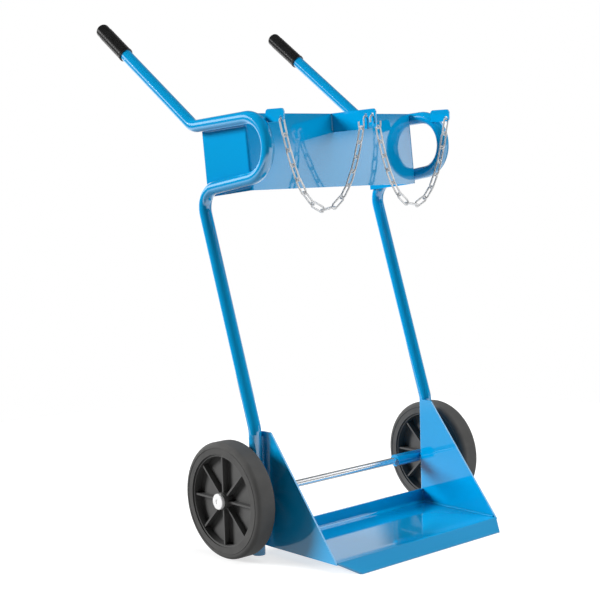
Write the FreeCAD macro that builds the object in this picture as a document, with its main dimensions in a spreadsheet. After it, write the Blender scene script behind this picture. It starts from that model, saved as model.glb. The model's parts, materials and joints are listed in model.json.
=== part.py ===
"""Two-bottle gas cylinder trolley, in millimetres.

+X runs along the axle, -Y is the front (the toe plate), +Z is up, and the floor is z = 0.
Every piece is drawn with y = 0 on the axle; origin_shift then moves them all so that the
origin lies under the middle of the trolley.
"""
import FreeCAD, Part
import math
import os

import Sketcher

Vector = FreeCAD.Vector

SIZES = {
    # Side tubes: foot, leg that leans back, loop beside the bottles, handle.
    "tube_gauge": 525.6,
    "tube_od": 28.0,
    "tube_wall": 2.0,
    "kink_height": 270.0,
    "kink_radius": 60.0,
    "leg_angle": 17.5,
    "bend_radius": 45.0,
    "bar_angle": 8.4,
    "loop_radius": 63.0,
    "loop_forward": 36.0,
    "loop_height": 864.0,
    "top_angle": 3.6,
    "handle_root": 147.0,
    "handle_angle": 35.0,
    "handle_length": 414.0,
    # Grips pushed over the handle ends.
    "grip_od": 32.5,
    "grip_length": 119.0,
    "grip_cap": 5.0,
    "grip_rounding": 8.0,
    # Folded holder sheet that the bottles lean on.
    "sheet_thickness": 3.0,
    "panel_angle": 5.5,
    "panel_setback": 10.0,
    "panel_drop": 88.0,
    "panel_height": 162.0,
    "panel_wing": 150.0,
    "panel_bend": 6.0,
    # Flat bar between the two bottles, with a chain hole for each side.
    "divider_angle": 2.0,
    "divider_reach": 136.0,
    "divider_height": 42.0,
    "divider_rounding": 8.0,
    "divider_front_hole": 10.0,
    "divider_hole_step": 20.0,
    "divider_hole_drop": 13.0,
    "chain_hole": 9.0,
    # Chain lugs on the loops.
    "lug_overhang": 22.0,
    "lug_proud": 1.0,
    "lug_width": 57.0,
    "lug_height": 27.0,
    "lug_rounding": 8.0,
    "lug_hole_inset": 9.0,
    "lug_hole_rise": 7.5,
    # Chains.
    "link_wire": 4.0,
    "link_length": 34.0,
    "link_gap": 8.0,
    "link_play": 1.5,
    "chain_sag": 185.0,
    "hook_gap": 11.0,
    "hook_length": 28.0,
    "hook_tip": 8.0,
    "hang_gap": 1.9,
    # Toe plate, its ramp and back lip, and the gussets at its sides.
    "plate_thickness": 4.0,
    "plate_height": 22.0,
    "plate_depth": 229.0,
    "ramp_depth": 37.0,
    "ramp_chamfer": 32.0,
    "back_lip": 30.0,
    "plate_bend": 16.0,
    "lip_bend": 6.0,
    "gusset_drop": 4.0,
    "gusset_top": 33.0,
    "gusset_rounding": 6.0,
    # Axle and its welded sleeves.
    "axle_od": 16.0,
    "sleeve_od": 28.0,
    "sleeve_length": 102.0,
    "sleeve_proud": 9.0,
    # Wheels.
    "wheel_od": 250.0,
    "tyre_width": 50.0,
    "tyre_rounding": 11.0,
    "rim_od": 198.0,
    "rim_wall": 4.0,
    "rim_width": 44.0,
    "web_thickness": 6.0,
    "web_inset": 17.0,
    "rib_thickness": 4.0,
    "rib_inset": 3.0,
    "rib_count": 8.0,
    "hub_od": 37.0,
    "hub_length": 50.0,
    "bearing_od": 26.0,
    "washer_od": 30.0,
    "washer_thickness": 2.5,
    "cap_od": 34.0,
    "cap_thickness": 6.0,
    "cap_socket": 3.5,
    "cap_rounding": 2.5,
    "dimple_od": 11.0,
    "dimple_depth": 1.0,
    # Clearances.
    "weld_gap": 0.2,
    "seat_gap": 0.05,
    "running_gap": 0.05,
    "side_play": 0.4,
    # Set at the end, from the finished trolley's length.
    "origin_shift": 0.0,
}

SIDES = {"left": -1, "right": 1}


class Size:
    """A number together with the spreadsheet expression that gives it."""

    def __init__(self, value, text):
        self.value = value
        self.text = text

    @staticmethod
    def of(other):
        return other if isinstance(other, Size) else Size(float(other), repr(other))

    def _join(self, other, sign, result):
        return Size(result, f"({self.text} {sign} {other.text})")

    def __add__(self, other):
        other = Size.of(other)
        return self._join(other, "+", self.value + other.value)

    def __sub__(self, other):
        other = Size.of(other)
        return self._join(other, "-", self.value - other.value)

    def __mul__(self, other):
        other = Size.of(other)
        return self._join(other, "*", self.value * other.value)

    def __truediv__(self, other):
        other = Size.of(other)
        return self._join(other, "/", self.value / other.value)

    def __radd__(self, other):
        return Size.of(other) + self

    def __rsub__(self, other):
        return Size.of(other) - self

    def __rmul__(self, other):
        return Size.of(other) * self

    def __neg__(self):
        return Size(-self.value, f"(-1 * {self.text})")


def sine(angle):
    return Size(math.sin(math.radians(angle.value)), f"sin({angle.text} * 1 deg)")


def cosine(angle):
    return Size(math.cos(math.radians(angle.value)), f"cos({angle.text} * 1 deg)")


def size(name):
    return Size(float(sheet.get(name)), f"Sizes.{name}")


def fill_sheet():
    """One row per size: its name, and its number under the same alias."""
    for row, (name, value) in enumerate(SIZES.items(), start=1):
        sheet.set(f"A{row}", name)
        sheet.set(f"B{row}", str(value))
        sheet.setAlias(f"B{row}", name)
    doc.recompute()


def new_body(label, base=(0, 0, 0), turn=None):
    """A body at base, in the axle's frame, turned about X by an angle in degrees."""
    body = doc.addObject("PartDesign::Body", label)
    body.Label = label
    body.Placement = FreeCAD.Placement(Vector(), FreeCAD.Rotation(Vector(1, 0, 0), 1 if turn else 0))
    x, y, z = (Size.of(value) for value in base)
    body.setExpression("Placement.Base.x", x.text)
    body.setExpression("Placement.Base.y", (y + size("origin_shift")).text)
    body.setExpression("Placement.Base.z", z.text)
    if turn:
        body.setExpression("Placement.Rotation.Angle", f"{turn.text} * 1 deg")
    return body


def new_sketch(body, role, offset=None):
    """A sketch on one of the body's origin planes, moved along the plane's normal."""
    sketch = body.newObject("Sketcher::SketchObject", f"{body.Label}_sketch")
    plane = next(item for item in body.Origin.OriginFeatures if item.Role == role)
    sketch.AttachmentSupport = [(plane, "")]
    sketch.MapMode = "FlatFace"
    if offset is not None:
        sketch.setExpression("AttachmentOffset.Base.z", offset.text)
    return sketch


def bind(sketch, constraint, amount, unit=""):
    """Adds a dimension and ties it to the sheet."""
    index = sketch.addConstraint(constraint)
    sketch.setExpression(f"Constraints[{index}]", amount.text + unit)


def bind_point(sketch, item, end, x, y):
    x, y = Size.of(x), Size.of(y)
    bind(sketch, Sketcher.Constraint("DistanceX", -1, 1, item, end, x.value), x)
    bind(sketch, Sketcher.Constraint("DistanceY", -1, 1, item, end, y.value), y)


def bind_radius(sketch, item, radius):
    bind(sketch, Sketcher.Constraint("Radius", item, radius.value), radius)


def bind_angle(sketch, item, angle):
    bind(sketch, Sketcher.Constraint("Angle", item, math.radians(angle.value)), angle, " * 1 deg")


def add_circle(sketch, x, y, radius):
    x, y = Size.of(x), Size.of(y)
    circle = Part.Circle(Vector(x.value, y.value, 0), Vector(0, 0, 1), radius.value)
    item = sketch.addGeometry(circle)
    bind_point(sketch, item, 3, x, y)
    bind_radius(sketch, item, radius)


def add_outline(sketch, corners):
    """A closed outline of (x, y) or (x, y, rounding) corners, every corner tied to the sheet."""
    points = [(Size.of(corner[0]), Size.of(corner[1])) for corner in corners]
    radii = [corner[2] if len(corner) > 2 else None for corner in corners]
    places = [Vector(x.value, y.value, 0) for x, y in points]
    count = len(corners)
    ends = [corner_ends(places, radii, index) for index in range(count)]
    lines = []
    for index in range(count):
        following = (index + 1) % count
        lines.append(sketch.addGeometry(Part.LineSegment(ends[index][1], ends[following][0])))
    for index in range(count):
        before, after = lines[index - 1], lines[index]
        if radii[index] is None:
            sketch.addConstraint(Sketcher.Constraint("Coincident", before, 2, after, 1))
            bind_point(sketch, after, 1, *points[index])
            continue
        marker = sketch.addGeometry(Part.Point(places[index]), True)
        bind_point(sketch, marker, 1, *points[index])
        sketch.addConstraint(Sketcher.Constraint("PointOnObject", marker, 1, before))
        sketch.addConstraint(Sketcher.Constraint("PointOnObject", marker, 1, after))
        round_corner(sketch, before, after, ends[index], radii[index])


def corner_ends(places, radii, index):
    """Where the straight sides stop before and after a corner's rounding."""
    corner = places[index]
    if radii[index] is None:
        return corner, corner
    back = (places[index - 1] - corner).normalize()
    ahead = (places[(index + 1) % len(places)] - corner).normalize()
    reach = radii[index].value / math.tan(back.getAngle(ahead) / 2)
    return corner + back * reach, corner + ahead * reach


def round_corner(sketch, before, after, ends, radius):
    """A tangent arc from the end of one line to the start of the next."""
    arc, start, stop = tangent_arc(sketch.Geometry[before], ends, radius.value)
    item = sketch.addGeometry(arc)
    sketch.addConstraint(Sketcher.Constraint("Tangent", before, 2, item, start))
    sketch.addConstraint(Sketcher.Constraint("Tangent", item, stop, after, 1))
    bind_radius(sketch, item, radius)
    return item


def tangent_arc(line, ends, radius):
    """The arc that leaves a line at ends[0] and stops at ends[1], and which of its ends is which."""
    heading = (line.EndPoint - line.StartPoint).normalize()
    turns_left = heading.cross(ends[1] - ends[0]).z > 0
    side = 1 if turns_left else -1
    centre = ends[0] + Vector(-heading.y, heading.x, 0) * (radius * side)
    angles = [math.atan2(end.y - centre.y, end.x - centre.x) for end in ends]
    if not turns_left:
        angles.reverse()
    circle = Part.Circle(centre, Vector(0, 0, 1), radius)
    start, stop = (1, 2) if turns_left else (2, 1)
    return Part.ArcOfCircle(circle, *angles), start, stop


def pad(body, sketch, length, midplane=True):
    feature = body.newObject("PartDesign::Pad", f"{body.Label}_pad")
    feature.Profile = sketch
    feature.Midplane = midplane
    feature.setExpression("Length", length.text)
    return feature


def revolve(body, sketch):
    """A full turn about the sketch's own X axis."""
    feature = body.newObject("PartDesign::Revolution", f"{body.Label}_turn")
    feature.Profile = sketch
    feature.ReferenceAxis = (sketch, ["H_Axis"])
    feature.Angle = 360
    return feature


def pocket_through(body, sketch):
    feature = body.newObject("PartDesign::Pocket", f"{body.Label}_cut")
    feature.Profile = sketch
    feature.Type = "ThroughAll"
    feature.Midplane = True
    return feature


def pipe(body, profile, spine):
    feature = body.newObject("PartDesign::AdditivePipe", f"{body.Label}_pipe")
    feature.Profile = profile
    feature.Spine = spine
    return feature


def tube_plane(side):
    return side * size("tube_gauge") / 2


def tube_inner_face():
    """Distance from the middle of the trolley to the plates welded inside the tubes."""
    return (size("tube_gauge") - size("tube_od")) / 2 - size("weld_gap")


def leg_y():
    """The upright feet stand just in front of the axle's sleeves."""
    return -((size("tube_od") + size("sleeve_od")) / 2 + size("weld_gap"))


def loop_top():
    """Height of the tube's centre line at the top of the round front."""
    return size("loop_height") + size("loop_radius")


def handle_base():
    """Height of the corner where the falling top bar meets the rising handle."""
    fall = size("top_angle")
    back = size("handle_root") + size("loop_forward")
    return size("loop_height") + (size("loop_radius") - back * sine(fall)) / cosine(fall)


def crossing(start, heading, other, other_heading):
    """Where two lines in a plane meet."""
    gap = other - start
    along = gap.cross(other_heading).z / heading.cross(other_heading).z
    return start + heading * along


def loop_ends():
    """The points where the bottom bar runs into the round front, and the front into the top bar."""
    centre = Vector(-size("loop_forward").value, size("loop_height").value, 0)
    lean, fall = (math.radians(size(name).value) for name in ("bar_angle", "top_angle"))
    low, high = (Vector(math.sin(turn), math.cos(turn), 0) * size("loop_radius").value for turn in (lean, fall))
    return centre - low, centre + high


def tube_corners():
    """The corners of the tube's path from the foot to the handle's end, before they are rounded."""
    lean, rise = (math.radians(size(name).value) for name in ("leg_angle", "bar_angle"))
    foot = Vector(leg_y().value, 0, 0)
    kink = Vector(leg_y().value, size("kink_height").value, 0)
    leg = Vector(math.sin(lean), math.cos(lean), 0)
    knee = crossing(kink, leg, loop_ends()[0], Vector(math.cos(rise), -math.sin(rise), 0))
    root = Vector(size("handle_root").value, handle_base().value, 0)
    climb = math.radians(size("handle_angle").value)
    tip = root + Vector(math.cos(climb), math.sin(climb), 0) * size("handle_length").value
    return foot, kink, knee, root, tip


def tube_path(body, side):
    """The bent centre line of a side tube: foot, leg, bottom bar, round front, top bar, handle."""
    sketch = new_sketch(body, "YZ_Plane", tube_plane(side))
    foot, kink, knee, root, tip = tube_corners()
    front, crown = loop_ends()
    bend = size("bend_radius")
    kink_ends = corner_ends([foot, kink, knee], [None, size("kink_radius"), None], 1)
    knee_ends = corner_ends([kink, knee, front], [None, bend, None], 1)
    root_ends = corner_ends([crown, root, tip], [None, bend, None], 1)
    runs = [(foot, kink_ends[0]), (kink_ends[1], knee_ends[0]), (knee_ends[1], front),
            (crown, root_ends[0]), (root_ends[1], tip)]
    upright, leg, bar, top, handle = (sketch.addGeometry(Part.LineSegment(*run)) for run in runs)
    round_corner(sketch, upright, leg, kink_ends, size("kink_radius"))
    round_corner(sketch, leg, bar, knee_ends, bend)
    loop = round_corner(sketch, bar, top, (front, crown), size("loop_radius"))
    round_corner(sketch, top, handle, root_ends, bend)

    bind_point(sketch, upright, 1, leg_y(), 0)
    bind_point(sketch, loop, 3, -size("loop_forward"), size("loop_height"))
    sketch.addConstraint(Sketcher.Constraint("Vertical", upright))
    bind_angle(sketch, leg, 90 - size("leg_angle"))
    bind_angle(sketch, bar, 180 - size("bar_angle"))
    bind_angle(sketch, top, -size("top_angle"))
    bind_angle(sketch, handle, size("handle_angle"))
    corner = sketch.addGeometry(Part.Point(kink), True)
    bind(sketch, Sketcher.Constraint("DistanceY", -1, 1, corner, 1, kink.y), size("kink_height"))
    sketch.addConstraint(Sketcher.Constraint("PointOnObject", corner, 1, upright))
    sketch.addConstraint(Sketcher.Constraint("PointOnObject", corner, 1, leg))
    corner = sketch.addGeometry(Part.Point(root), True)
    bind(sketch, Sketcher.Constraint("DistanceX", -1, 1, corner, 1, root.x), size("handle_root"))
    sketch.addConstraint(Sketcher.Constraint("PointOnObject", corner, 1, top))
    sketch.addConstraint(Sketcher.Constraint("PointOnObject", corner, 1, handle))
    length = size("handle_length")
    bind(sketch, Sketcher.Constraint("Distance", corner, 1, handle, 2, length.value), length)
    return sketch


def frame_tube(name, side):
    body = new_body(f"{name}_frame_tube")
    path = tube_path(body, side)
    ring = new_sketch(body, "XY_Plane")
    outer = size("tube_od") / 2
    add_circle(ring, tube_plane(side), leg_y(), outer)
    add_circle(ring, tube_plane(side), leg_y(), outer - size("tube_wall"))
    pipe(body, ring, path)
    return body


def grip(name, side):
    """A closed sleeve over the handle's end; its own X axis runs out along the handle."""
    rise = size("handle_angle")
    reach = size("handle_length")
    y = size("handle_root") + reach * cosine(rise)
    z = handle_base() + reach * sine(rise)
    body = new_body(f"{name}_grip", (tube_plane(side), y, z), rise)
    sketch = new_sketch(body, "XY_Plane")
    sketch.AttachmentOffset = FreeCAD.Placement(Vector(), FreeCAD.Rotation(Vector(0, 0, 1), 90))
    bore = size("tube_od") / 2 + size("seat_gap")
    outer = size("grip_od") / 2
    start = size("grip_cap") - size("grip_length")
    add_outline(sketch, [
        (start, bore),
        (start, outer),
        (size("grip_cap"), outer, size("grip_rounding")),
        (size("grip_cap"), 0),
        (size("seat_gap"), 0),
        (size("seat_gap"), bore),
    ])
    revolve(body, sketch)
    return body


def holder_base():
    """The holder's lower front edge, set back from the middle of the loops and below it."""
    return size("panel_setback") - size("loop_forward"), size("loop_height") - size("panel_drop")


def holder_body(label):
    """A body in the holder's own leaning frame: x across, y back from the face, z up it."""
    return new_body(label, (0, *holder_base()), -size("panel_angle"))


def cylinder_rest_panel():
    body = holder_body("cylinder_rest_panel")
    sketch = new_sketch(body, "XY_Plane")
    outside = tube_inner_face()
    sheet_thickness = size("sheet_thickness")
    inside = outside - sheet_thickness
    back, bend = size("panel_wing"), size("panel_bend")
    add_outline(sketch, [
        (-outside, 0, bend),
        (outside, 0, bend),
        (outside, back),
        (inside, back),
        (inside, sheet_thickness, bend - sheet_thickness),
        (-inside, sheet_thickness, bend - sheet_thickness),
        (-inside, back),
        (-outside, back),
    ])
    pad(body, sketch, size("panel_height"), midplane=False)
    return body


def divider_base():
    """The divider's lower back corner, on the holder's face."""
    y, z = holder_base()
    up = size("panel_height") - size("divider_height")
    return y + up * sine(size("panel_angle")), z + up * cosine(size("panel_angle"))


def divider_holes():
    """The chain holes in the divider, in its own frame: for the left chain, then the right."""
    z = size("divider_height") - size("divider_hole_drop")
    front = size("divider_front_hole") - size("divider_reach")
    return {"left": (front + size("divider_hole_step"), z), "right": (front, z)}


def middle_divider():
    """A flat bar that rises a little to the front; its back edge follows the holder's lean."""
    body = new_body("middle_divider", (0, *divider_base()), -size("divider_angle"))
    sketch = new_sketch(body, "YZ_Plane")
    top = size("divider_height")
    lean = size("panel_angle") - size("divider_angle")
    add_outline(sketch, [
        (0, 0),
        (top * sine(lean) / cosine(lean), top),
        (-size("divider_reach"), top, size("divider_rounding")),
        (-size("divider_reach"), 0, size("divider_rounding")),
    ])
    for y, z in divider_holes().values():
        add_circle(sketch, y, z, size("chain_hole") / 2)
    pad(body, sketch, size("sheet_thickness"))
    return body


def lug_front():
    """A lug stands out in front of its loop."""
    return -(size("loop_forward") + size("loop_radius") + size("tube_od") / 2 + size("lug_overhang"))


def lug_base():
    top = loop_top() + size("tube_od") / 2 + size("lug_proud")
    return top - size("lug_height")


def lug_hole():
    """The chain hole near a lug's lower front corner, in the axle's frame."""
    return lug_front() + size("lug_hole_inset"), lug_base() + size("lug_hole_rise")


def lug_plane(side):
    return side * (tube_inner_face() - size("sheet_thickness") / 2)


def chain_lug(name, side):
    body = new_body(f"{name}_chain_lug")
    sketch = new_sketch(body, "YZ_Plane", lug_plane(side))
    front, low, rounding = lug_front(), lug_base(), size("lug_rounding")
    back, top = front + size("lug_width"), low + size("lug_height")
    add_outline(sketch, [
        (back, low),
        (back, top, rounding),
        (front, top, rounding),
        (front, low, size("lug_hole_rise")),
    ])
    add_circle(sketch, *lug_hole(), size("chain_hole") / 2)
    pad(body, sketch, size("sheet_thickness"))
    return body


def gusset_back():
    return leg_y()


def plate_front():
    return gusset_back() - size("plate_depth")


def gusset(name, side):
    thickness = size("plate_thickness")
    body = new_body(f"{name}_gusset")
    sketch = new_sketch(body, "YZ_Plane", side * (tube_inner_face() - thickness / 2))
    back, low = gusset_back(), size("plate_height") - thickness
    top = size("kink_height") - size("gusset_drop")
    add_outline(sketch, [
        (back, low),
        (back, top, size("gusset_rounding")),
        (back - size("gusset_top"), top, size("gusset_rounding")),
        (plate_front(), low),
    ])
    pad(body, sketch, thickness)
    return body


def toe_plate():
    """One folded sheet between the gussets: level plate, ramp down to the floor, lip up at the back."""
    body = new_body("toe_plate")
    thickness, top = size("plate_thickness"), size("plate_height")
    back, front = gusset_back(), plate_front()
    edge = front - size("ramp_depth")
    half = tube_inner_face() - thickness - size("weld_gap")
    bend = size("plate_bend")

    section = new_sketch(body, "YZ_Plane")
    add_outline(section, [
        (back, top - thickness),
        (back, top),
        (front, top, bend),
        (edge, thickness / 2),
        (edge, 0),
        (edge + thickness, 0),
        (front, top - thickness, bend - thickness),
    ])
    pad(body, section, 2 * half)

    lip = new_sketch(body, "YZ_Plane")
    rise, fold = top + size("back_lip"), size("lip_bend")
    root = top - thickness / 2
    foot = back - thickness - 2 * fold
    add_outline(lip, [
        (back, root),
        (back, rise),
        (back - thickness, rise),
        (back - thickness, top, fold),
        (foot, top),
        (foot, root),
    ])
    pad(body, lip, 2 * half)

    chamfer = size("ramp_chamfer")
    for side in SIDES.values():
        cut = new_sketch(body, "XY_Plane")
        add_outline(cut, [
            (side * half, front),
            (side * half, edge),
            (side * (half - chamfer), edge),
        ])
        pocket_through(body, cut)
    return body


def axle_body(label):
    """A body whose own X axis is the axle's centre line."""
    return new_body(label, (0, 0, size("wheel_od") / 2))


def turned(label, side, corners):
    """A piece turned about the axle from (x outwards, radius) corners on one side."""
    body = axle_body(label)
    sketch = new_sketch(body, "XY_Plane")
    add_outline(sketch, [(side * corner[0], *corner[1:]) for corner in corners])
    revolve(body, sketch)
    return body


def ring_corners(start, stop, inner, outer):
    return [(start, inner), (start, outer), (stop, outer), (stop, inner)]


def sleeve_end():
    return (size("tube_gauge") + size("tube_od")) / 2 + size("sleeve_proud")


def hub_start():
    return sleeve_end() + 2 * size("side_play") + size("washer_thickness")


def hub_end():
    return hub_start() + size("hub_length")


def cap_start():
    return hub_end() + 2 * size("side_play") + size("washer_thickness")


def wheel_middle():
    return hub_start() + size("hub_length") / 2


def axle():
    body = axle_body("axle")
    sketch = new_sketch(body, "YZ_Plane")
    add_circle(sketch, 0, 0, size("axle_od") / 2)
    pad(body, sketch, 2 * (cap_start() + size("cap_socket") - size("seat_gap")))
    return body


def axle_sleeve(name, side):
    start = sleeve_end() - size("sleeve_length")
    bore = size("axle_od") / 2 + size("seat_gap")
    corners = ring_corners(start, sleeve_end(), bore, size("sleeve_od") / 2)
    return turned(f"{name}_axle_sleeve", side, corners)


def washer(label, side, start):
    bore = size("axle_od") / 2 + size("seat_gap")
    stop = start + size("washer_thickness")
    return turned(label, side, ring_corners(start, stop, bore, size("washer_od") / 2))


def tyre(name, side):
    """Solid rubber ring with rounded shoulders."""
    half = size("tyre_width") / 2
    bore = size("rim_od") / 2 + size("seat_gap")
    outer = size("wheel_od") / 2
    return turned(f"{name}_tyre", side, [
        (wheel_middle() - half, bore),
        (wheel_middle() - half, outer, size("tyre_rounding")),
        (wheel_middle() + half, outer, size("tyre_rounding")),
        (wheel_middle() + half, bore),
    ])


def wheel_rim(name, side):
    """Moulded rim: hub, web set in from the outer face, rim wall, and ribs on both faces."""
    middle = wheel_middle()
    half = size("rim_width") / 2
    outer = size("rim_od") / 2
    wall = outer - size("rim_wall")
    hub = size("hub_od") / 2
    bore = size("bearing_od") / 2 + size("seat_gap")
    web_out = middle + half - size("web_inset")
    web_in = web_out - size("web_thickness")
    body = turned(f"{name}_wheel_rim", side, [
        (hub_start(), bore),
        (hub_start(), hub),
        (web_in, hub),
        (web_in, wall),
        (middle - half, wall),
        (middle - half, outer),
        (middle + half, outer),
        (middle + half, wall),
        (web_out, wall),
        (web_out, hub),
        (hub_end(), hub),
        (hub_end(), bore),
    ])
    sketch = new_sketch(body, "XY_Plane")
    rib_in = middle - half + size("rib_inset")
    rib_out = middle + half - size("rib_inset")
    root = (bore + hub) / 2
    tip = (wall + outer) / 2
    add_outline(sketch, [(side * x, r) for x, r in ring_corners(rib_in, rib_out, root, tip)])
    rib = pad(body, sketch, size("rib_thickness"))
    pattern = body.newObject("PartDesign::PolarPattern", f"{body.Label}_ribs")
    pattern.Originals = [rib]
    pattern.Axis = (sketch, ["H_Axis"])
    pattern.Angle = 360
    pattern.setExpression("Occurrences", size("rib_count").text)
    body.Tip = pattern
    return body


def wheel_bearing(name, side):
    bore = size("axle_od") / 2 + size("running_gap")
    corners = ring_corners(hub_start(), hub_end(), bore, size("bearing_od") / 2)
    return turned(f"{name}_wheel_bearing", side, corners)


def axle_cap(name, side):
    """Push-on cap over the axle's end, with a dimple in the middle of its face."""
    dimple = size("dimple_od") / 2
    start = cap_start()
    socket = start + size("cap_socket")
    end = start + size("cap_thickness")
    bore = size("axle_od") / 2 + size("seat_gap")
    return turned(f"{name}_axle_cap", side, [
        (start, bore),
        (start, size("cap_od") / 2),
        (end, size("cap_od") / 2, size("cap_rounding")),
        (end, dimple),
        (end - size("dimple_depth"), dimple),
        (end - size("dimple_depth"), 0),
        (socket, 0),
        (socket, bore),
    ])


def wheel(name, side):
    return [
        tyre(name, side),
        wheel_rim(name, side),
        wheel_bearing(name, side),
        washer(f"{name}_inner_washer", side, sleeve_end() + size("side_play")),
        washer(f"{name}_outer_washer", side, hub_end() + size("side_play")),
        axle_cap(name, side),
    ]


def link_shape():
    """The link's round wire along two straight sides and two half turns."""
    wire = size("link_wire").value
    turn = (size("link_gap").value + wire) / 2
    side = size("link_length").value / 2 + wire / 2 - turn
    legs = [Part.makeCylinder(wire / 2, 2 * side, Vector(-side, 0, z), Vector(1, 0, 0))
            for z in (-turn, turn)]
    bow = Part.makeTorus(turn, wire / 2, Vector(), Vector(0, 1, 0))
    reach = turn + wire
    half_space = Part.makeBox(reach, 2 * reach, 2 * reach, Vector(0, -reach, -reach))
    right = bow.common(half_space)
    left = right.mirror(Vector(), Vector(1, 0, 0))
    right.translate(Vector(side, 0, 0))
    left.translate(Vector(-side, 0, 0))
    return right.fuse([left, *legs]).removeSplitter()


def hook_turn():
    """Radius of the hook's two half turns, on the middle of the wire."""
    return (size("hook_gap").value + size("link_wire").value) / 2


def hook_shape(side):
    """A bent hook: over the hole's lower edge, down the divider's outer face, and up again.

    The origin is the middle of the wire at the top of the first turn.
    """
    turn, tip = hook_turn(), size("hook_tip").value
    low = turn - size("hook_length").value
    back = [(-turn, -turn - tip), (-turn, -turn)]
    shank = [(turn, -turn), (turn, low)]
    front = [(3 * turn, low), (3 * turn, low + tip)]
    bends = [(0, 0), (2 * turn, low - turn)]

    def place(point):
        return Vector(side * point[0], 0, point[1])

    def straight(ends):
        return Part.makeLine(*(place(end) for end in ends))

    def half_turn(start, middle, stop):
        return Part.Arc(place(start), place(middle), place(stop)).toShape()

    path = Part.Wire([
        straight(back),
        half_turn(back[1], bends[0], shank[0]),
        straight(shank),
        half_turn(shank[1], bends[1], front[0]),
        straight(front),
    ])
    round_end = Part.makeCircle(size("link_wire").value / 2, place(back[0]), Vector(0, 0, 1))
    return path.makePipeShell([Part.Wire([round_end])], True, False)


def wire_drop():
    """How far below a hole's centre the hanging wire lies."""
    return (size("chain_hole").value - size("link_wire").value) / 2 - size("hang_gap").value


def chain_holds(name, side):
    """Centres of the wire in the lug's hole and in the divider's hole."""
    y, z = (part.value for part in lug_hole())
    lug = Vector(lug_plane(side).value, y, z - wire_drop())
    y, z = (part.value for part in divider_holes()[name])
    lean = FreeCAD.Rotation(Vector(1, 0, 0), -size("divider_angle").value)
    base = Vector(0, *(part.value for part in divider_base()))
    hole = base + lean.multVec(Vector(0, y, z))
    return lug, hole - Vector(0, 0, wire_drop())


def bisect(function, low, high):
    """The argument between low and high where a rising function is zero."""
    for _ in range(80):
        middle = (low + high) / 2
        if function(middle) < 0:
            low = middle
        else:
            high = middle
    return (low + high) / 2


def link_count(span):
    """Even number of links that hangs about as low as chain_sag."""
    sag = size("chain_sag").value
    scale = bisect(lambda a: sag - a * (math.cosh(span / 2 / a) - 1), span / 40, span * 40)
    length = 2 * scale * math.sinh(span / 2 / scale)
    return 2 * round(length / link_pitch() / 2)


def link_pitch():
    return size("link_length").value - size("link_play").value


def hanging_slopes(lengths, span, rise):
    """Slopes of equal hanging links: their tangents go up in even steps from end to end."""
    middle = (len(lengths) - 1) / 2

    def tangents(step, tilt):
        return [tilt + step * (index - middle) for index in range(len(lengths))]

    def tilt_for(step):
        def error(tilt):
            return sum(l * math.sin(math.atan(t)) for l, t in zip(lengths, tangents(step, tilt))) - rise
        return bisect(error, -20, 20)

    def short(step):
        slopes = tangents(step, tilt_for(step))
        return span - sum(l * math.cos(math.atan(t)) for l, t in zip(lengths, slopes))

    step = bisect(short, 0, 40)
    return [math.atan(t) for t in tangents(step, tilt_for(step))]


def link_places(start, end):
    """Placements of the links from the lug to the hook's lower turn, every other one turned.

    The first link's own wire lies in the lug's hole; the last link hangs on the hook's wire.
    """
    across = Vector(end.x - start.x, end.y - start.y, 0)
    count = link_count(across.Length)
    pitch = link_pitch()
    extra = (size("link_wire").value + size("link_play").value) / 2
    lengths = [pitch + extra] + [pitch] * (count - 2) + [pitch - extra]
    heading = FreeCAD.Rotation(Vector(1, 0, 0), across)
    point = Vector(start)
    places = []
    for index, slope in enumerate(hanging_slopes(lengths, across.Length, end.z - start.z)):
        run = heading.multVec(Vector(math.cos(slope), 0, math.sin(slope)))
        along = pitch / 2 + (extra if index == 0 else 0)
        pitched = FreeCAD.Rotation(Vector(0, 1, 0), -math.degrees(slope))
        roll = FreeCAD.Rotation(Vector(1, 0, 0), 90 * (index % 2))
        places.append(FreeCAD.Placement(point + run * along, heading * pitched * roll))
        point = point + run * lengths[index]
    return places


def chain(name, side):
    """The closed links as one group, and the hook that hangs in the divider."""
    lug, hole = chain_holds(name, side)
    turn_low = hole + Vector(side * 2 * hook_turn(), 0, -size("hook_length").value)
    places = link_places(lug, turn_low)
    link, hook = link_shape(), hook_shape(side)
    hook.translate(hole)
    print(name, "chain between", lug, "and", hole, "links", len(places))
    return [
        hung(f"{name}_chain", [link.transformed(place.toMatrix()) for place in places]),
        hung(f"{name}_chain_hook", [hook]),
    ]


def hung(label, shapes):
    """A piece of chain, as a group of placed shapes."""
    piece = doc.addObject("Part::Feature", label)
    piece.Label = label
    piece.Shape = Part.makeCompound(shapes)
    piece.Placement = FreeCAD.Placement()
    piece.setExpression("Placement.Base.y", size("origin_shift").text)
    return piece


def build():
    pieces = [cylinder_rest_panel(), middle_divider(), toe_plate(), axle()]
    for name, side in SIDES.items():
        pieces += [
            frame_tube(name, side),
            grip(name, side),
            chain_lug(name, side),
            gusset(name, side),
            axle_sleeve(name, side),
            *wheel(name, side),
            *chain(name, side),
        ]
    doc.recompute()
    return pieces


def centre_on_origin(pieces):
    """Moves the origin under the middle of the whole trolley."""
    box = FreeCAD.BoundBox()
    for piece in pieces:
        box.add(piece.Shape.optimalBoundingBox())
    sheet.set("origin_shift", str(-box.Center.y))
    doc.recompute()


def check(pieces):
    for item in doc.Objects:
        if "Invalid" in item.State or "Error" in item.State:
            raise RuntimeError(f"{item.Label} failed: {item.State}")
    for piece in pieces:
        if piece.Shape.isNull() or not piece.Shape.isValid():
            raise RuntimeError(f"{piece.Label} has no valid shape")


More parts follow.
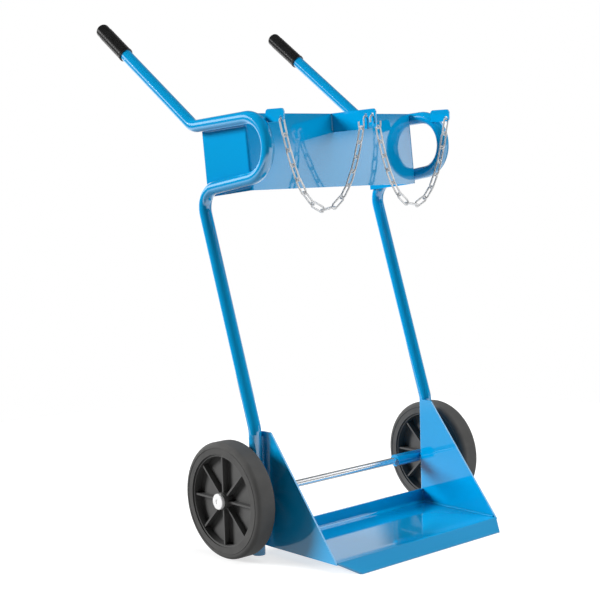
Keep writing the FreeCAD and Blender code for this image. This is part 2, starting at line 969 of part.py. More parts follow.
def export(pieces):
    os.makedirs("parts", exist_ok=True)
    for piece in pieces:
        piece.Shape.exportStep(f"parts/{piece.Label}.step")
        box = piece.Shape.optimalBoundingBox()
        print(f"{piece.Label}: {len(piece.Shape.Solids)} solid, {piece.Shape.Volume:.0f} mm3,"
              f" {box.XLength:.1f} x {box.YLength:.1f} x {box.ZLength:.1f}")


doc = FreeCAD.newDocument("gas_cylinder_trolley")
sheet = doc.addObject("Spreadsheet::Sheet", "Sizes")
fill_sheet()
parts = build()
centre_on_origin(parts)
check(parts)
export(parts)
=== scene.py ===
# %% [markdown]
# # A two-bottle gas cylinder trolley
# This lesson dresses a welded steel trolley: bent side tubes, a folded holder sheet with a
# divider, hanging chains, a toe plate with gussets, and two wheels on one axle. The solids come
# finished from CAD, in metres, so nothing here is placed by eye: every added detail starts from
# the box of the piece that carries it, and from a few drawing sizes that no box can tell.

# %% Load the solids
import json
import math

import bpy
from mathutils import Matrix, Vector


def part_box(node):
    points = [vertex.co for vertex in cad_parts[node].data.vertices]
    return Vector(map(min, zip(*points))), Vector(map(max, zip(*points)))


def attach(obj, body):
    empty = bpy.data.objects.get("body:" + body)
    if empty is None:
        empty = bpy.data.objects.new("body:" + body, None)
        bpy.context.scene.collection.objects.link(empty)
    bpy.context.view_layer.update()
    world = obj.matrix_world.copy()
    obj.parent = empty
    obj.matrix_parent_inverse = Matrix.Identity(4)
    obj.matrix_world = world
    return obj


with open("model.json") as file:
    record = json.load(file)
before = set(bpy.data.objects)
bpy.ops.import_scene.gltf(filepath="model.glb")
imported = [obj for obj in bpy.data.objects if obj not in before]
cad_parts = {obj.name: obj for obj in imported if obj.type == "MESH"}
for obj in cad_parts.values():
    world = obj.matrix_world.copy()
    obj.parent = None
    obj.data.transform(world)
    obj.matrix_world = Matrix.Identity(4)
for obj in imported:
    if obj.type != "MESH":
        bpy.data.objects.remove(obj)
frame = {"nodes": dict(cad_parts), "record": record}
scene = bpy.context.scene
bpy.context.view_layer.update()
MM = 0.001
SIDES = {"left": -1, "right": 1}

# %% [markdown]
# ## The camera
# A camera could be dragged until the view looks right, but then no edge ever falls quite where it
# should. Here its focal length, place and three angles are numbers, found by matching the wheels,
# tubes and plates, so the picture can be laid over the photograph.

# %% Camera
FOCAL_SHARE = 2.25872
CAMERA_PLACE = Vector((-2.05864, -2.32434, 0.82269))
YAW, PITCH, ROLL = (math.radians(angle) for angle in (41.38, 5.62, -1.68))


def camera_axes():
    """The camera's right, up and backward directions."""
    level = Vector((math.cos(YAW), -math.sin(YAW), 0))
    straight = Vector((math.sin(YAW), math.cos(YAW), 0))
    ahead = straight * math.cos(PITCH) - Vector((0, 0, math.sin(PITCH)))
    upright = level.cross(ahead)
    right = level * math.cos(ROLL) + upright * math.sin(ROLL)
    up = upright * math.cos(ROLL) - level * math.sin(ROLL)
    return right, up, -ahead


lens = bpy.data.cameras.new("camera")
lens.sensor_width = 36
lens.lens = FOCAL_SHARE * lens.sensor_width
camera = bpy.data.objects.new("camera", lens)
scene.collection.objects.link(camera)
turned = Matrix(camera_axes()).transposed().to_4x4()
camera.matrix_world = Matrix.Translation(CAMERA_PLACE) @ turned
scene.camera = camera
print("lens:", round(lens.lens, 2), "mm")

# %% [markdown]
# ## Writing shader maths as Python
# A shader is a graph of small nodes, and a graph typed node by node is hard to read. This class
# wraps one socket and overloads the operators, so a line such as `1 - mask * 0.3` adds its own
# Math nodes. Every other node comes from one method of the tree's own helper.

# %% Shader helper


class Wire:
    """One output socket, with Python's operators for maths on values."""

    def __init__(self, tree, socket):
        self.tree = tree
        self.socket = socket

    def _math(self, operation, first, second):
        return self.tree.node("ShaderNodeMath", {"operation": operation}, {0: first, 1: second})

    def __add__(self, other):
        return self._math("ADD", self, other)

    def __sub__(self, other):
        return self._math("SUBTRACT", self, other)

    def __mul__(self, other):
        return self._math("MULTIPLY", self, other)

    def __rsub__(self, other):
        return self._math("SUBTRACT", other, self)

    __radd__ = __add__
    __rmul__ = __mul__

    def sine(self):
        return self._math("SINE", self, 0.0)

    def between(self, low, high):
        """0 below low, 1 above high, smooth in between."""
        settings = {"interpolation_type": "SMOOTHSTEP"}
        inputs = {"Value": self, "From Min": low, "From Max": high}
        return self.tree.node("ShaderNodeMapRange", settings, inputs)


class Tree:
    """A node tree, the one method that adds nodes to it, and a few short cuts."""

    def __init__(self, tree):
        self.tree = tree
        tree.nodes.clear()

    def node(self, kind, settings=None, inputs=None, output=0):
        """Adds a node: its settings first, then the values or wires of its sockets."""
        made = self.tree.nodes.new(kind)
        for name, value in (settings or {}).items():
            setattr(made, name, value)
        for name, value in (inputs or {}).items():
            if isinstance(value, Wire):
                self.tree.links.new(value.socket, made.inputs[name])
            else:
                made.inputs[name].default_value = value
        return Wire(self, made.outputs[output])

    def close(self, last, kind="ShaderNodeOutputMaterial", socket="Surface"):
        """Leads a wire to the tree's output."""
        self.tree.links.new(last.socket, self.tree.nodes.new(kind).inputs[socket])

    def parts(self, vector):
        """The x, y and z of a vector wire."""
        split = self.node("ShaderNodeSeparateXYZ", None, {"Vector": vector})
        return [Wire(self, socket) for socket in split.socket.node.outputs]

    def length(self, vector):
        settings = {"operation": "LENGTH"}
        return self.node("ShaderNodeVectorMath", settings, {0: vector}, "Value")

    def ray(self, question):
        """What the Light Path node answers about the ray that asks."""
        return self.node("ShaderNodeLightPath", None, None, question)

    def blend(self, share, first, second):
        """A colour between two colours."""
        settings = {"data_type": "RGBA", "clamp_factor": True}
        return self.node("ShaderNodeMix", settings, {0: share, 6: first, 7: second}, 2)


print("shader helper ready")

# %% [markdown]
# ## The studio floor
# The paint is so glossy that the surroundings are half of its look. The camera sees an even pale
# floor with soft shadows, but the undersides of the tubes mirror a brighter, glowing one, with a
# painted shadow of the trolley: dimmer close to the trolley and towards the back on the left. One
# plain white floor would be simpler, but then the mirrored floor and the seen one couldn't be set
# apart; a Light Path node keeps them separate.

# %% Floor
FLOOR_RADIUS, FLOOR_SIDES = 1.7, 96
FLOOR_SEEN, FLOOR_SHADE, FLOOR_LIGHT = 0.68, 0.44, 1.25


def grey(value):
    """A neutral colour."""
    return (value, value, value, 1)


WHITE = grey(1)


def floor_light(tree):
    """How brightly the mirrored floor glows, with a painted shadow near the trolley and behind
    left.
    """
    across, along, _ = tree.parts(tree.node("ShaderNodeTexCoord", None, None, "Object"))
    back_left = along * 0.75 - across * 0.66
    # painted shade behind on the left and painted shadow close to the trolley, in the mirrored
    # floor's glow
    painted_shade_behind_left = 1 - back_left.between(-0.15, 0.45) * 0.75 + back_left.between(0.9, 1.5) * 0.3
    beside = tree.node("ShaderNodeCombineXYZ", None, {"X": across * 2.0, "Y": along * 2.8 + 0.42})
    painted_trolley_shadow = 0.4 + 0.6 * tree.length(beside).between(0.5, 1.5)
    spread = 1 - tree.ray("Is Diffuse Ray") * 0.15
    return FLOOR_LIGHT * painted_shade_behind_left * painted_trolley_shadow * spread


def floor_finish():
    """One floor for the camera, another for the mirrors."""
    surface = bpy.data.materials.new("pale_floor")
    surface.use_nodes = True
    surface.cycles.emission_sampling = "NONE"
    tree = Tree(surface.node_tree)
    glow = {"Color": WHITE, "Strength": floor_light(tree)}
    mirrored = tree.node("ShaderNodeEmission", None, glow)
    pale = tree.node("ShaderNodeEmission", None, {"Color": WHITE, "Strength": FLOOR_SEEN})
    shade = tree.node("ShaderNodeBsdfDiffuse", None, {"Color": grey(FLOOR_SHADE)})
    seen = tree.node("ShaderNodeAddShader", None, {0: pale, 1: shade})
    choice = {0: tree.ray("Is Camera Ray"), 1: mirrored, 2: seen}
    tree.close(tree.node("ShaderNodeMixShader", None, choice))
    return surface


def make_floor():
    turns = [math.tau * step / FLOOR_SIDES for step in range(FLOOR_SIDES)]
    rim = [Vector((math.cos(turn), math.sin(turn), 0)) * FLOOR_RADIUS for turn in turns]
    mesh = bpy.data.meshes.new("floor")
    mesh.from_pydata(rim, [], [range(FLOOR_SIDES)])
    mesh.materials.append(floor_finish())
    floor = bpy.data.objects.new("floor", mesh)
    scene.collection.objects.link(floor)


make_floor()
print("floor radius:", FLOOR_RADIUS, "m")

# %% [markdown]
# ## The room
# Each flat sheet and each bar mirrors its own part of the room. The holder sheet shows a low
# bright wall in front on the right, the toe plate a dimmer wall behind on the right, the handles,
# top bars and grips a patch of light low behind on the left, and the axle a light high in front.
# The rest is dark, which leaves the tubes deep blue. A picture of a room could light the scene
# too, but a few lines of maths on the direction do the same. The numbers in them are parts of a
# direction one unit long: across to the right, ahead to the back, and up.

# %% Room
ROOM_DIM, BACKDROP = 0.02, 1.0
FRONT_WALL, BACK_WALL, RIGHT_SIDE, FAR_FLOOR = 1.25, 0.55, 0.25, 1.2
PATCH, HIGH_FRONT = 1.6, 1.2
PATCH_FROM = Vector((-0.525, 0.84, 0.15)).normalized()


def front_wall(across, ahead, up):
    """Low in front on the right, with a slanted left edge; the holder sheet mirrors it."""
    left_edge = (across - up.between(0.135, 0.148) * 0.012).between(0.628, 0.638)
    in_front = 1 - ahead.between(-0.68, -0.62)
    low = 1 - up.between(0.154, 0.168)
    right_end = 1 + ahead.between(-0.72, -0.68) * 0.4
    return left_edge * in_front * low * right_end


def back_wall(across, behind, up):
    """Behind and on the right, dimmer towards the right; the toe plate mirrors it."""
    left_edge = across.between(-0.25, 0.0)
    low = 1 - up.between(0.25, 0.50)
    fading = 2.2 - across.between(0.42, 0.62) * 1.2
    cut_corner = 1 - across.between(0.672, 0.684) * up.between(0.14, 0.20)
    return left_edge * behind * low * fading * cut_corner


def right_side(across, ahead, behind, up):
    """Faint, beside the trolley on the right and above the walls."""
    beside = across.between(0.35, 0.65) * ahead.between(-0.62, -0.45) * (1 - behind * 0.5)
    return beside * up.between(0.2, 0.35) * (1 - up.between(0.8, 0.9))


def far_floor(across, up):
    """Where the round floor ends: dark near the horizon on the left, dim on the far right."""
    dark_left = up.between(-0.45, -0.18) * (1 - across.between(-0.45, 0.0))
    dim_right = across.between(0.72, 0.86) * 0.8
    return (1 - dark_left) * (1 - dim_right)


def patch(tree, towards, up):
    """Low behind on the left; it shows in a first mirror only, not in a mirror of a mirror."""
    settings = {"operation": "DOT_PRODUCT"}
    aim = tree.node("ShaderNodeVectorMath", settings, {0: towards, 1: PATCH_FROM}, "Value")
    first_mirror = 1 - tree.ray("Glossy Depth").between(1.2, 1.8)
    return aim.between(0.92, 0.97) * up.between(0.08, 0.12) * first_mirror


def high_front(across, ahead, up):
    """High in front on the right; only bars that lie straight across, as the axle, mirror it."""
    in_line = across.between(0.60, 0.63) * (1 - across.between(0.75, 0.79))
    return in_line * up.between(0.36, 0.42) * (1 - ahead.between(-0.12, -0.02))


def room_light(tree):
    """The light from each direction."""
    towards = tree.node("ShaderNodeTexCoord")
    across, ahead, up = tree.parts(towards)
    above, behind = up.between(-0.02, 0.0), ahead.between(-0.35, -0.05)
    walls = (front_wall(across, ahead, up) * FRONT_WALL + back_wall(across, behind, up) * BACK_WALL
             + right_side(across, ahead, behind, up) * RIGHT_SIDE)
    ground = far_floor(across, up) * FAR_FLOOR
    lamps = patch(tree, towards, up) * PATCH + high_front(across, ahead, up) * HIGH_FRONT
    return ROOM_DIM + above * walls + (1 - above) * ground + lamps


def make_room():
    """Plain white to the camera, and the room's light to everything else."""
    world = bpy.data.worlds.new("room")
    world.use_nodes = True
    scene.world = world
    tree = Tree(world.node_tree)
    room = tree.node("ShaderNodeBackground", None, {"Color": WHITE, "Strength": room_light(tree)})
    plain = tree.node("ShaderNodeBackground", None, {"Color": WHITE, "Strength": BACKDROP})
    choice = {0: tree.ray("Is Camera Ray"), 1: room, 2: plain}
    tree.close(tree.node("ShaderNodeMixShader", None, choice), "ShaderNodeOutputWorld")


make_room()
print("room:", len(scene.world.node_tree.nodes), "nodes")

# %% [markdown]
# ## Two soft suns
# The key sun stands behind on the left: it lights the tubes and wheels on their left, and throws
# the shadows of the wheels' ribs forwards. A wider, weaker fill from above on the front right
# opens the shadows. Sun lamps would show in the glossy paint as round spots, so they are hidden
# from mirrors; the walls and the patch of light stand in for them there.

# %% Suns
SUNS = {
    "key_sun": dict(towards=Vector((-0.66, 0.66, 0.34)), strength=4.6, softness=22),
    "fill_sun": dict(towards=Vector((0.35, -0.33, 0.88)), strength=2.75, softness=60),
}


def make_sun(name, towards, strength, softness):
    """A sun that shades but isn't mirrored; its softness is an angle in degrees."""
    lamp = bpy.data.lights.new(name, "SUN")
    lamp.energy = strength
    lamp.angle = math.radians(softness)
    sun = bpy.data.objects.new(name, lamp)
    scene.collection.objects.link(sun)
    sun.rotation_mode = "QUATERNION"
    sun.rotation_quaternion = towards.to_track_quat("Z", "Y")
    sun.visible_glossy = False


for name, numbers in SUNS.items():
    make_sun(name, **numbers)
scene.view_settings.view_transform = "Standard"
print("suns:", list(SUNS))

# %% [markdown]
# ## Blue powder coat
# The frame is welded first and coated whole, so the tubes, sheets, lugs and sleeves share one skin
# of blue. Powder that has flowed out in the oven is glossy with a faint orange peel a few
# millimetres across. The gloss is a clear coat over a blue base; the peel is a small bump.

# %% Paint


def finish_of(name, **fixed):
    """A new material, its tree helper and its main shader, with the unvarying numbers set."""
    material = bpy.data.materials.new(name)
    material.use_nodes = True
    tree = Tree(material.node_tree)
    shader = tree.tree.nodes.new("ShaderNodeBsdfPrincipled")
    tree.close(Wire(tree, shader.outputs[0]))
    for socket, value in fixed.items():
        shader.inputs[socket.replace("_", " ")].default_value = value
    return material, tree, shader


def feed(tree, shader, **wires):
    """Links varying inputs of the main shader."""
    for socket, wire in wires.items():
        tree.tree.links.new(wire.socket, shader.inputs[socket.replace("_", " ")])


def place_of(tree, stretch=(1, 1, 1)):
    """Object coordinates, stretched along the axes."""
    where = tree.node("ShaderNodeTexCoord", None, None, "Object")
    return tree.node("ShaderNodeMapping", None, {"Vector": where, "Scale": stretch})


def noise(tree, where, scale, detail=2.0):
    inputs = {"Vector": where, "Scale": scale, "Detail": detail}
    return tree.node("ShaderNodeTexNoise", None, inputs)


def bump(tree, height, depth):
    inputs = {"Height": height, "Distance": depth, "Strength": 1.0}
    return tree.node("ShaderNodeBump", None, inputs)


DEEP_BLUE, PALE_BLUE = (0.0, 0.315, 0.66, 1), (0.0, 0.345, 0.71, 1)
PAINT_IOR = 1.75


def blue_paint():
    material, tree, shader = finish_of("blue_powder_coat", IOR=PAINT_IOR, Coat_Weight=1.0,
                                       Coat_Roughness=0.03, Coat_IOR=PAINT_IOR)
    where = place_of(tree)
    cloud = noise(tree, where, scale=7.0)
    peel = noise(tree, where, scale=160.0, detail=1.0)
    feed(tree, shader,
         Base_Color=tree.blend(cloud, DEEP_BLUE, PALE_BLUE),
         Roughness=0.06 + 0.05 * cloud,
         Normal=bump(tree, peel, depth=0.012 * MM))
    return material


paint = blue_paint()
print("paint:", len(paint.node_tree.nodes), "nodes")

# %% [markdown]
# ## Bright steel
# The axle is bright drawn bar, with fine lines along its length from the die. The chains, washers
# and caps are zinc plated: clouded, with small bright and dull grains. Pure metal would mirror the
# dark room and turn nearly black, so the zinc is only partly metallic, and its pale matt share is a
# painted reflection of brighter surroundings; the caps, nearly white and least metallic, carry the
# most painted reflection. One function with a few numbers makes both.

# %% Axle bar and zinc


def axle_steel():
    material, tree, shader = finish_of("drawn_steel_bar", Metallic=0.9)
    lines = noise(tree, place_of(tree, stretch=(6, 900, 900)), scale=1.0, detail=3.0)
    feed(tree, shader,
         Base_Color=tree.blend(lines, grey(0.88), grey(0.97)),
         Roughness=0.16 + 0.10 * lines,
         Normal=bump(tree, lines, depth=0.01 * MM))
    return material


def zinc_plate(name, dull, bright, metal):
    material, tree, shader = finish_of(name, Metallic=metal)
    where = place_of(tree)
    cells = tree.node("ShaderNodeTexVoronoi", None, {"Vector": where, "Scale": 650.0}, "Color")
    grain = tree.parts(cells)[0]
    cloud = noise(tree, where, scale=60.0)
    feed(tree, shader,
         Base_Color=tree.blend(grain * 0.5 + cloud * 0.5, grey(dull), grey(bright)),
         Roughness=0.34 + 0.18 * cloud,
         Normal=bump(tree, cloud, depth=0.03 * MM))
    return material


axle_finish = axle_steel()
# partly metallic, so the pale matt share is a painted reflection; the caps, nearly white and barely
# metallic, most of all
zinc = zinc_plate("zinc_plate", dull=0.76, bright=0.94, metal=0.45)
cap_zinc = zinc_plate("bright_cap_zinc", dull=0.90, bright=1.0, metal=0.15)
print("metals:", axle_finish.name, zinc.name, cap_zinc.name)

# %% [markdown]
# ## Rubber and plastic
# The tyres are solid rubber, dark grey with a dusty bloom and faint moulding rings round the axle.
# The rims and grips are black plastic: the rims with a fine spark-eroded grain, the grips glossy.
# The bearings are pale nylon. Rings round an axle need the distance from it, which comes from the
# y and z of the place.

# %% Rubber and plastic
axle_low, axle_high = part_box("axle")
AXLE_CENTRE = (axle_low + axle_high) / 2


def from_axle(tree, where):
    """Distance from the axle's centre line, in metres."""
    _, along, up = tree.parts(where)
    inputs = {"Y": along - AXLE_CENTRE.y, "Z": up - AXLE_CENTRE.z}
    return tree.length(tree.node("ShaderNodeCombineXYZ", None, inputs))


def tyre_rubber():
    material, tree, shader = finish_of("tyre_rubber", Specular_IOR_Level=0.45)
    where = place_of(tree)
    bloom = noise(tree, where, scale=35.0, detail=4.0)
    outwards = tree.node("ShaderNodeCombineXYZ", None, {"X": from_axle(tree, where)})
    rings = noise(tree, outwards, scale=700.0, detail=1.0)
    grain = noise(tree, where, scale=900.0)
    feed(tree, shader,
         Base_Color=tree.blend(bloom, grey(0.060), (0.100, 0.099, 0.096, 1)),
         Roughness=0.52 + 0.2 * bloom,
         Normal=bump(tree, rings * 0.7 + grain * 0.3, depth=0.2 * MM))
    return material


def rim_plastic():
    material, tree, shader = finish_of("black_rim_plastic")
    where = place_of(tree)
    grain = noise(tree, where, scale=1100.0)
    cloud = noise(tree, where, scale=25.0)
    feed(tree, shader,
         Base_Color=tree.blend(cloud, grey(0.075), (0.110, 0.110, 0.108, 1)),
         Roughness=0.30 + 0.14 * cloud,
         Normal=bump(tree, grain, depth=0.05 * MM))
    return material


def grip_plastic():
    material, tree, shader = finish_of("black_grip_plastic", Specular_IOR_Level=0.9)
    where = place_of(tree)
    grain = noise(tree, where, scale=260.0)
    cloud = noise(tree, where, scale=45.0, detail=3.0)
    feed(tree, shader,
         Base_Color=tree.blend(cloud, grey(0.008), grey(0.018)),
         Roughness=0.15 + 0.12 * cloud,
         Normal=bump(tree, grain, depth=0.01 * MM))
    return material


def bearing_nylon():
    material, tree, shader = finish_of("natural_nylon")
    cloud = noise(tree, place_of(tree), scale=80.0)
    feed(tree, shader,
         Base_Color=tree.blend(cloud, (0.66, 0.64, 0.58, 1), (0.74, 0.72, 0.67, 1)),
         Roughness=0.40 + 0.15 * cloud)
    return material


rubber, rim_finish = tyre_rubber(), rim_plastic()
grip_finish, nylon = grip_plastic(), bearing_nylon()
print("axle centre:", [round(v, 4) for v in AXLE_CENTRE])

# %% [markdown]
# ## Dressing the solids
# The solids keep their shape and only change their material. Each arrives with the plain material
# of its slot in the record, so one table from slot to finish dresses them all, on both sides. Only
# the caps on the axle's ends have a finish of their own, nearly white with a painted reflection,
# brighter than their slot's.

# %% Dress the solids
FINISHES = {
    "blue_paint": paint,
    "axle_steel": axle_finish,
    "zinc_steel": zinc,
    "grip_rubber": grip_finish,
    "tyre_rubber": rubber,
    "rim_plastic": rim_finish,
    "bearing_nylon": nylon,
}
for sub in frame["record"]["subparts"]:
    for holder in frame["nodes"][sub["node"]].material_slots:
        cap = sub["node"].endswith("_cap")
        # the caps take the finish with the painted reflection
        holder.material = cap_zinc if cap else FINISHES[sub["material_slot"]]

# %% [markdown]
# ## Growing repeats with Geometry Nodes
# Weld beads, grip ribs and tyre ridges are all one small shape carried along a line. Modelling
# each by hand would be slow and uneven, so a node tree grows them: its sizes are named inputs, and
# this helper sets them, evaluates the tree once, and keeps the plain mesh that comes out.

# %% Growing helper


def new_tree(name, **inputs):
    """An empty Geometry Nodes tree with the named inputs, given as socket types."""
    group = bpy.data.node_groups.new(name, "GeometryNodeTree")
    group.interface.new_socket("Geometry", in_out="OUTPUT", socket_type="NodeSocketGeometry")
    for label, kind in inputs.items():
        group.interface.new_socket(label, in_out="INPUT", socket_type="NodeSocket" + kind)
    return group, Tree(group)


def given(tree, label):
    """A wire from one of the tree's named inputs."""
    return tree.node("NodeGroupInput", None, None, label)


def end_tree(tree, shape):
    """Smooth, realized and painted, as the export needs."""
    shape = tree.node("GeometryNodeSetShadeSmooth", None, {"Geometry": shape})
    shape = tree.node("GeometryNodeRealizeInstances", None, {"Geometry": shape})
    inputs = {"Geometry": shape, "Material": given(tree, "Material")}
    shape = tree.node("GeometryNodeSetMaterial", None, inputs)
    tree.close(shape, "NodeGroupOutput", "Geometry")


def grow(name, start, group, body, slot, **sizes):
    """Runs a tree on a start mesh and keeps the result as one plain piece on a body."""
    piece = bpy.data.objects.new(name, start)
    scene.collection.objects.link(piece)
    nodes = piece.modifiers.new("grow", "NODES")
    nodes.node_group = group
    for socket in group.interface.items_tree:
        if socket.in_out == "INPUT" and socket.name != "Geometry":
            finish = socket.name == "Material"
            nodes[socket.identifier] = FINISHES[slot] if finish else sizes[socket.name]
    evaluated = piece.evaluated_get(bpy.context.evaluated_depsgraph_get())
    grown = bpy.data.meshes.new_from_object(evaluated)
    piece.modifiers.clear()
    piece.data = grown
    grown.name = name
    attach(piece, body)
    return piece


print("growing helper ready")

# %% [markdown]
# ## Weld beads
# The frame is held together by welds, and under the paint each one is a rounded bead with a ripple
# for every step of the torch. They run in the corners between the gussets and the toe plate, in the
# grooves between tube and sheet, round the axle sleeves, up both sides of the divider, and beside
# the chain lugs. A bead is a path with a round section whose size follows a sine along its length.

# %% Bead tree
POINTS_PER_RIPPLE, BEAD_SIDES = 5, 12


def bead_tree():
    group, tree = new_tree("weld_bead", Geometry="Geometry", Bead="Float", Ripple="Float",
                           Depth="Float", Material="Material")
    path = tree.node("GeometryNodeMeshToCurve", None, {"Mesh": given(tree, "Geometry")})
    evenly = {"Curve": path, "Length": given(tree, "Ripple") * (1 / POINTS_PER_RIPPLE)}
    path = tree.node("GeometryNodeResampleCurve", {"mode": "LENGTH"}, evenly)
    along = tree.node("GeometryNodeSplineParameter", None, None, "Length")
    ripples = {0: along, 1: given(tree, "Ripple")}
    turns = tree.node("ShaderNodeMath", {"operation": "DIVIDE"}, ripples)
    swell = 1 + (turns * math.tau).sine() * given(tree, "Depth")
    round_bead = {"Resolution": BEAD_SIDES, "Radius": given(tree, "Bead")}
    section = tree.node("GeometryNodeCurvePrimitiveCircle", None, round_bead)
    bead = {"Curve": path, "Profile Curve": section, "Scale": swell, "Fill Caps": True}
    end_tree(tree, tree.node("GeometryNodeCurveToMesh", None, bead))
    return group


beads = bead_tree()
print("bead tree:", len(beads.nodes), "nodes")

# %% [markdown]
# ### Beads along the toe plate
# The toe plate lies between the two gussets, so a bead runs along each lower corner and up each end
# of the back lip. The corner is where the gusset's inner face meets the plate's top. The record's
# first mount, where a bottle stands, is on that same top, so its height is read from there.

# %% Corner beads
PLATE_TOP = frame["record"]["mounts"][0]["pos_m"][2]
PLATE_THICKNESS, FOLD_CLEARANCE = 4 * MM, 4 * MM
FRONT_INSET, LIP_INSET = 8 * MM, 3 * MM


def side_faces(node):
    """The x of a side piece's inner and outer face."""
    return sorted((corner.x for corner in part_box(node)), key=abs)


def corner_paths(name):
    """Between gusset and toe plate, along the corner and up the back lip's end."""
    inner = side_faces(name + "_gusset")[0]
    low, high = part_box(name + "_gusset")
    lip, lip_top = high.y - PLATE_THICKNESS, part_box("toe_plate")[1].z - LIP_INSET
    along = (low.y + FRONT_INSET, lip - FOLD_CLEARANCE)
    yield [Vector((inner, y, PLATE_TOP)) for y in along]
    yield [Vector((inner, lip, z)) for z in (PLATE_TOP + FOLD_CLEARANCE, lip_top)]


def path_mesh(name, paths):
    """Open lines of points, as the edges of one mesh."""
    points, edges = [], []
    for path in paths:
        edges += [(len(points) + i, len(points) + i + 1) for i in range(len(path) - 1)]
        points += path
    mesh = bpy.data.meshes.new(name)
    mesh.from_pydata(points, edges, [])
    return mesh


corners = [path for name in SIDES for path in corner_paths(name)]
corner_welds = grow("corner_welds", path_mesh("corners", corners), beads, "frame", "blue_paint",
                    Bead=3.6 * MM, Ripple=5 * MM, Depth=0.10)
print("corner beads:", len(corners), "faces:", len(corner_welds.data.polygons))

# %% [markdown]
# ### Beads along the tubes
# A groove between a flat sheet and a tube lies a little beside the tube's centre line, where the
# gap is just a bead wide. The gussets are welded along the feet, the holder's wings in short
# stitches along the bars above and below them, and the lugs with one short bead each. Where an
# axle sleeve crosses a tube, the groove is a small ring. The divider stands in the corner of the
# leaning holder sheet.

# %% Groove beads
TUBE_RADIUS, GROOVE = 14 * MM, 8.5 * MM
BESIDE_SHEET, OVER_EDGE, BEHIND_EDGE = 1.6 * MM, 1.1 * MM, 0.8 * MM
GROOVE_INSET, EDGE_INSET = 10 * MM, 12 * MM
LOOP_CENTRE, LOOP_RADIUS = Vector((0, AXLE_CENTRE.y - 36 * MM, 864 * MM)), 63 * MM
TOP_FALL, LOW_FALL = math.radians(3.6), math.radians(8.4)
STITCH_STARTS, STITCH_LENGTH = (38 * MM, 98 * MM), 32 * MM
LUG_BEAD_RADIUS, LUG_BEAD_TURNS = 70.5 * MM, (36, 38.5, 41, 43)


def gusset_paths(name, side):
    """In front of the foot on the gusset's outside, and along its back edge."""
    outer = side_faces(name + "_gusset")[1]
    low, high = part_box(name + "_gusset")
    groove, edge = outer + side * BESIDE_SHEET, outer - side * OVER_EDGE
    yield [Vector((groove, high.y - GROOVE, z))
           for z in (low.z + GROOVE_INSET, high.z - GROOVE_INSET)]
    yield [Vector((edge, high.y + BEHIND_EDGE, z))
           for z in (low.z + EDGE_INSET, high.z - EDGE_INSET)]


def loop_paths(name, side):
    """Stitches along the loop's bars and a bead beside the lug, in the gusset's plane."""
    groove = side_faces(name + "_gusset")[1] + side * BESIDE_SHEET
    centre = LOOP_CENTRE + Vector((groove, 0, 0))
    for fall, offset in ((TOP_FALL, LOOP_RADIUS - GROOVE), (LOW_FALL, GROOVE - LOOP_RADIUS)):
        bar = Matrix.Rotation(-fall, 3, "X")
        for start in STITCH_STARTS:
            yield [centre + bar @ Vector((0, y, offset)) for y in (start, start + STITCH_LENGTH)]
    turns = [math.radians(angle) for angle in LUG_BEAD_TURNS]
    yield [centre + Vector((0, -math.sin(turn), math.cos(turn))) * LUG_BEAD_RADIUS
           for turn in turns]


print("loop centre:", [round(v, 4) for v in LOOP_CENTRE])

# %% [markdown]
# ### Beads at the sleeves and the divider
# Two round bars that cross touch at one point, and the weld fills the gap round it. Its ring lies
# halfway between the two surfaces, which two square roots give. The holder leans back, so the
# divider's bead leans with it.

# %% Sleeve and divider beads
RING_RADIUS, RING_STEPS = 8 * MM, 24
PANEL_FOOT = Vector((0, AXLE_CENTRE.y - 26 * MM, 776 * MM))
PANEL_LEAN = math.radians(5.5)
DIVIDER_INSET, DIVIDER_BEAD_TOP = 3 * MM, 934 * MM


def sleeve_path(name):
    """The ring where the axle sleeve crosses the tube; both have the same radius."""
    tube = sum(side_faces(name + "_frame_tube")) / 2
    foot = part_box(name + "_gusset")[1].y
    ring = []
    for step in range(RING_STEPS + 1):
        turn = math.tau * step / RING_STEPS
        out, up = RING_RADIUS * math.cos(turn), RING_RADIUS * math.sin(turn)
        tube_back = foot + math.sqrt(TUBE_RADIUS ** 2 - out ** 2)
        sleeve_front = AXLE_CENTRE.y - math.sqrt(TUBE_RADIUS ** 2 - up ** 2)
        ring.append(Vector((tube + out, (tube_back + sleeve_front) / 2, AXLE_CENTRE.z + up)))
    return ring


def divider_path(side):
    """Up the corner between the divider and the leaning holder sheet."""
    low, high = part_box("middle_divider")
    x = (low if side < 0 else high).x
    slope = math.tan(PANEL_LEAN)
    return [Vector((x, PANEL_FOOT.y + (z - PANEL_FOOT.z) * slope, z))
            for z in (low.z + DIVIDER_INSET, DIVIDER_BEAD_TOP)]


grooves = []
for name, side in SIDES.items():
    grooves += [*gusset_paths(name, side), *loop_paths(name, side)]
    grooves += [sleeve_path(name), divider_path(side)]
groove_welds = grow("groove_welds", path_mesh("grooves", grooves), beads, "frame", "blue_paint",
                    Bead=2.2 * MM, Ripple=3.5 * MM, Depth=0.14)
print("groove beads:", len(grooves), "faces:", len(groove_welds.data.polygons))

# %% [markdown]
# ## Rings on grips and tyres
# The grips have shallow moulded ribs that stop a hand from slipping, and a thicker collar at the
# mouth. The tyres carry a fine ridge on each shoulder, where the halves of the mould met. All are
# rings threaded on a straight line, so one tree serves: a ring, copied along a row of points and
# turned to face along the row.

# %% Ring tree
RING_SIDES, WIRE_SIDES = 72, 8


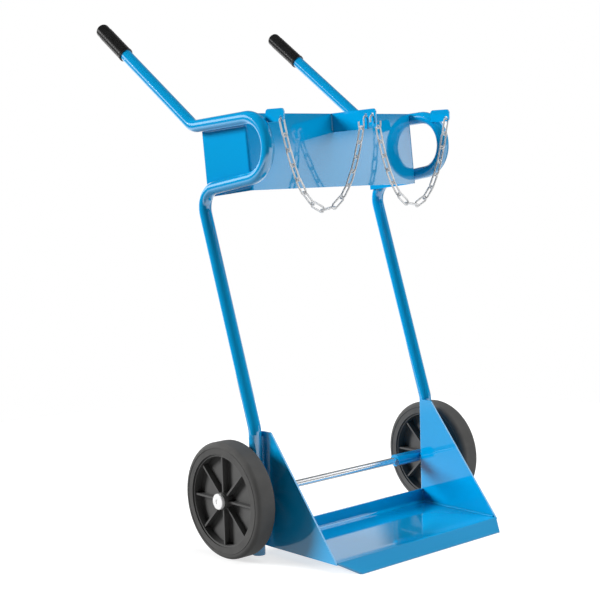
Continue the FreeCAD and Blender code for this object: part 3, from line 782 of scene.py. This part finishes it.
def ring_tree():
    group, tree = new_tree("threaded_rings", Start="Vector", Step="Vector", Count="Int",
                           Ring="Float", Wire="Float", Material="Material")
    circles = {"Ring": RING_SIDES, "Wire": WIRE_SIDES}
    ring, wire = [tree.node("GeometryNodeCurvePrimitiveCircle", None,
                            {"Resolution": sides, "Radius": given(tree, label)})
                  for label, sides in circles.items()]
    hoop = tree.node("GeometryNodeCurveToMesh", None, {"Curve": ring, "Profile Curve": wire})
    spacing = {"Count": given(tree, "Count"), "Start Location": given(tree, "Start"),
               "Offset": given(tree, "Step")}
    row = tree.node("GeometryNodeMeshLine", None, spacing)
    along = {"Vector": given(tree, "Step")}
    facing = tree.node("FunctionNodeAlignRotationToVector", {"axis": "Z"}, along)
    threaded = {"Points": row, "Instance": hoop, "Rotation": facing}
    end_tree(tree, tree.node("GeometryNodeInstanceOnPoints", None, threaded))
    return group


rings = ring_tree()
print("ring tree:", len(rings.nodes), "nodes")

# %% [markdown]
# ### Where the rings sit
# A grip is a sleeve over the sloping handle. The width of its box gives the radius, and the middle
# of its mouth follows from the box's lowest corner and the slope. Each ring is partly sunk into the
# grip or tyre, so that only a low ridge stands out, as on a moulded piece.

# %% Grip ribs and tyre ridges
HANDLE_RISE = math.radians(35)
GRIP_RINGS = {
    "ribs": dict(start=14 * MM, pitch=8 * MM, count=11, sunk=0.5 * MM, wire=1.1 * MM),
    "collar": dict(start=2.2 * MM, pitch=2.8 * MM, count=2, sunk=0.8 * MM, wire=1.8 * MM),
}
RIDGE_INSET, RIDGE_WIRE = 12 * MM, 1.1 * MM


def grip_rings(name, kind, start, pitch, count, sunk, wire):
    """A row of rings on a grip, counted from its mouth."""
    low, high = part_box(name + "_grip")
    ahead = Vector((0, math.cos(HANDLE_RISE), math.sin(HANDLE_RISE)))
    radius = (high.x - low.x) / 2
    mouth = Vector(((low.x + high.x) / 2, low.y + radius * ahead.z, low.z + radius * ahead.y))
    grow(name + "_grip_" + kind, bpy.data.meshes.new("row"), rings, "frame", "grip_rubber",
         Start=mouth + ahead * start, Step=ahead * pitch, Count=count, Ring=radius - sunk,
         Wire=wire)


def tyre_ridges(name):
    """One ridge on each side of a tyre."""
    low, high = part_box(name + "_tyre")
    centre = Vector((low.x, AXLE_CENTRE.y, AXLE_CENTRE.z))
    radius = (high.z - low.z) / 2
    grow(name + "_tyre_ridges", bpy.data.meshes.new("row"), rings, name + "_wheel", "tyre_rubber",
         Start=centre, Step=Vector((high.x - low.x, 0, 0)), Count=2, Ring=radius - RIDGE_INSET,
         Wire=RIDGE_WIRE)


for name in SIDES:
    for kind, sizes in GRIP_RINGS.items():
        grip_rings(name, kind, **sizes)
    tyre_ridges(name)
print("rings on each grip:", sum(sizes["count"] for sizes in GRIP_RINGS.values()))
